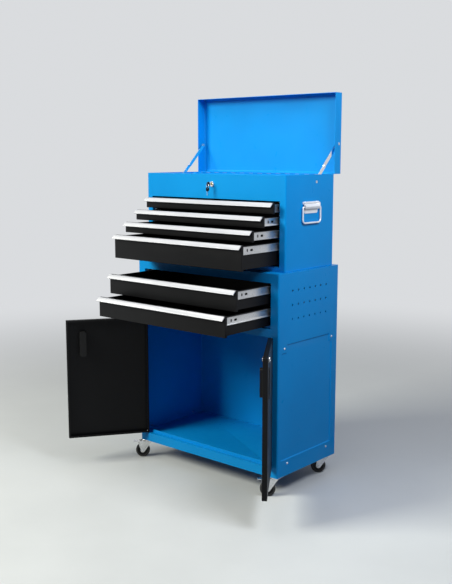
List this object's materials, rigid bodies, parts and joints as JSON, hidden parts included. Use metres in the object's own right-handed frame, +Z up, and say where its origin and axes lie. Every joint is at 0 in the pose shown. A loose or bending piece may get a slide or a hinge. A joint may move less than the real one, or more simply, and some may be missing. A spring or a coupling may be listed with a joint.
{
  "type": "rolling tool chest and cabinet",
  "caption": "Rolling tool storage: a lift-off chest with a hinged lid, till and sliding drawers stands on a cabinet with drawers, a pair of doors and swivel casters.",
  "frame": {"origin": "on the floor, under the middle of the cabinet's box", "axes": "+X to the right seen from the front, -Y towards the front, +Z up"},
  "size_m": [0.8834, 0.5732, 1.2766],
  "materials": {
    "blue_steel": "gloss",
    "black_steel": "satin",
    "pull_aluminium": "satin",
    "zinc_steel": "satin",
    "chrome": "polished",
    "black_plastic": "matte",
    "key_plastic": "matte",
    "wheel_rubber": "matte"
  },
  "bodies": {
    "cabinet": {"cab_side_left": "blue_steel", "cab_side_right": "blue_steel", "cab_back": "blue_steel", "cab_top": "blue_steel", "cab_divider": "blue_steel", "cab_base": "blue_steel", "cab_slides": "zinc_steel", "cab_fasteners": "zinc_steel", "caster_plates": "zinc_steel"},
    "chest": {"chest_shell": "blue_steel", "chest_fascia": "blue_steel", "chest_till_floor": "blue_steel", "chest_base": "blue_steel", "chest_slides": "zinc_steel", "handle_brackets": "zinc_steel", "chest_lock_body": "chrome", "chest_hinge": "blue_steel", "chest_rivets": "zinc_steel"},
    "lid": {"lid_shell": "blue_steel", "lid_fittings": "blue_steel"},
    "stay_lower_arms": {"stay_arms_chest": "zinc_steel"},
    "stay_upper_arms": {"stay_arms_lid": "zinc_steel"},
    "door_left": {"door_left": "black_steel", "door_handle_left": "black_plastic"},
    "door_right": {"door_right": "black_steel", "door_handle_right": "black_plastic", "door_lock_body": "chrome"},
    "door_lock": {"door_lock_plug": "chrome"},
    "chest_lock": {"chest_lock_plug": "chrome", "lock_keys": "key_plastic"},
    "bail_left": {"handle_bail_left": "chrome"},
    "bail_right": {"handle_bail_right": "chrome"},
    "drawer_1": {"drawer_tray_1": "black_steel", "drawer_pull_1": "pull_aluminium", "drawer_runners_1": "zinc_steel"},
    "drawer_2": {"drawer_tray_2": "black_steel", "drawer_pull_2": "pull_aluminium", "drawer_runners_2": "zinc_steel"},
    "drawer_3": {"drawer_tray_3": "black_steel", "drawer_pull_3": "pull_aluminium", "drawer_runners_3": "zinc_steel"},
    "drawer_4": {"drawer_tray_4": "black_steel", "drawer_pull_4": "pull_aluminium", "drawer_runners_4": "zinc_steel"},
    "drawer_5": {"drawer_tray_5": "black_steel", "drawer_pull_5": "pull_aluminium", "drawer_runners_5": "zinc_steel"},
    "drawer_6": {"drawer_tray_6": "black_steel", "drawer_pull_6": "pull_aluminium", "drawer_runners_6": "zinc_steel"},
    "caster_fl": {"caster_fork_fl": "zinc_steel"},
    "wheel_fl": {"caster_wheel_fl": "wheel_rubber"},
    "brake_fl": {"brake_lever_fl": "zinc_steel"},
    "caster_fr": {"caster_fork_fr": "zinc_steel"},
    "wheel_fr": {"caster_wheel_fr": "wheel_rubber"},
    "brake_fr": {"brake_lever_fr": "zinc_steel"},
    "caster_rl": {"caster_fork_rl": "zinc_steel"},
    "wheel_rl": {"caster_wheel_rl": "wheel_rubber"},
    "caster_rr": {"caster_fork_rr": "zinc_steel"},
    "wheel_rr": {"caster_wheel_rr": "wheel_rubber"}
  },
  "joints": [
    {"name": "chest_lift", "type": "slide", "parent": "cabinet", "child": "chest", "axis": [0, 0, 1], "range_m": [0, 0.1]},
    {"name": "drawer_1_slide", "type": "slide", "parent": "chest", "child": "drawer_1", "axis": [0, -1, 0], "range_m": [-0.031, 0.159]},
    {"name": "drawer_2_slide", "type": "slide", "parent": "chest", "child": "drawer_2", "axis": [0, -1, 0], "range_m": [-0.0805, 0.1095]},
    {"name": "drawer_3_slide", "type": "slide", "parent": "chest", "child": "drawer_3", "axis": [0, -1, 0], "range_m": [-0.131, 0.059]},
    {"name": "drawer_4_slide", "type": "slide", "parent": "chest", "child": "drawer_4", "axis": [0, -1, 0], "range_m": [-0.1805, 0.0095]},
    {"name": "drawer_5_slide", "type": "slide", "parent": "cabinet", "child": "drawer_5", "axis": [0, -1, 0], "range_m": [-0.164, 0.076]},
    {"name": "drawer_6_slide", "type": "slide", "parent": "cabinet", "child": "drawer_6", "axis": [0, -1, 0], "range_m": [-0.213, 0.027]},
    {"name": "lid_hinge", "type": "hinge", "parent": "chest", "child": "lid", "pos_m": [0, 0.1385, 1.0164], "axis": [-1, 0, 0], "range_deg": [-90, 0]},
    {"name": "stay_lower_pivot", "type": "hinge", "parent": "chest", "child": "stay_lower_arms", "pos_m": [0, 0.039, 0.9933], "axis": [-1, 0, 0], "range_deg": [0, 77.9]},
    {"name": "stay_upper_pivot", "type": "hinge", "parent": "lid", "child": "stay_upper_arms", "pos_m": [0, 0.1615, 1.113], "axis": [-1, 0, 0], "range_deg": [0, 11.2]},
    {"name": "door_right_hinge", "type": "hinge", "parent": "cabinet", "child": "door_right", "pos_m": [0.2795, -0.1592, 0.307], "axis": [0, 0, 1], "range_deg": [-125, 0]},
    {"name": "door_left_hinge", "type": "hinge", "parent": "cabinet", "child": "door_left", "pos_m": [-0.2795, -0.1592, 0.307], "axis": [0, 0, -1], "range_deg": [-125, 0]},
    {"name": "door_lock_turn", "type": "hinge", "parent": "door_right", "child": "door_lock", "pos_m": [0.40954, -0.33916, 0.5005], "axis": [-0.8192, -0.5736, 0], "range_deg": [-90, 0]},
    {"name": "chest_lock_turn", "type": "hinge", "parent": "chest", "child": "chest_lock", "pos_m": [0, -0.1215, 0.984], "axis": [0, 1, 0], "range_deg": [-90, 0]},
    {"name": "bail_right_swing", "type": "hinge", "parent": "chest", "child": "bail_right", "pos_m": [0.305, 0.0085, 0.9159], "axis": [0, -1, 0], "range_deg": [0, 110]},
    {"name": "bail_left_swing", "type": "hinge", "parent": "chest", "child": "bail_left", "pos_m": [-0.305, 0.0085, 0.9159], "axis": [0, 1, 0], "range_deg": [0, 110]},
    {"name": "caster_fl_swivel", "type": "hinge", "parent": "cabinet", "child": "caster_fl", "pos_m": [-0.286, -0.1405, 0.06], "axis": [0, 0, 1], "continuous": true},
    {"name": "wheel_fl_turn", "type": "hinge", "parent": "caster_fl", "child": "wheel_fl", "pos_m": [-0.30562, -0.15756, 0.025], "axis": [0.6561, -0.7547, 0], "continuous": true},
    {"name": "brake_fl_press", "type": "hinge", "parent": "caster_fl", "child": "brake_fl", "pos_m": [-0.31468, -0.16543, 0.054], "axis": [0.6561, -0.7547, 0], "range_deg": [0, 20]},
    {"name": "caster_fr_swivel", "type": "hinge", "parent": "cabinet", "child": "caster_fr", "pos_m": [0.286, -0.1405, 0.06], "axis": [0, 0, 1], "continuous": true},
    {"name": "wheel_fr_turn", "type": "hinge", "parent": "caster_fr", "child": "wheel_fr", "pos_m": [0.26638, -0.15756, 0.025], "axis": [0.6561, -0.7547, 0], "continuous": true},
    {"name": "brake_fr_press", "type": "hinge", "parent": "caster_fr", "child": "brake_fr", "pos_m": [0.25732, -0.16543, 0.054], "axis": [0.6561, -0.7547, 0], "range_deg": [0, 20]},
    {"name": "caster_rl_swivel", "type": "hinge", "parent": "cabinet", "child": "caster_rl", "pos_m": [-0.286, 0.1405, 0.06], "axis": [0, 0, 1], "continuous": true},
    {"name": "wheel_rl_turn", "type": "hinge", "parent": "caster_rl", "child": "wheel_rl", "pos_m": [-0.30562, 0.12344, 0.025], "axis": [0.6561, -0.7547, 0], "continuous": true},
    {"name": "caster_rr_swivel", "type": "hinge", "parent": "cabinet", "child": "caster_rr", "pos_m": [0.286, 0.1405, 0.06], "axis": [0, 0, 1], "continuous": true},
    {"name": "wheel_rr_turn", "type": "hinge", "parent": "caster_rr", "child": "wheel_rr", "pos_m": [0.26638, 0.12344, 0.025], "axis": [0.6561, -0.7547, 0], "continuous": true}
  ],
  "couplings": [
    {"joint": "stay_lower_pivot", "follows": "lid_hinge", "ratio": -0.86474},
    {"joint": "stay_upper_pivot", "follows": "lid_hinge", "ratio": -0.12355}
  ]
}
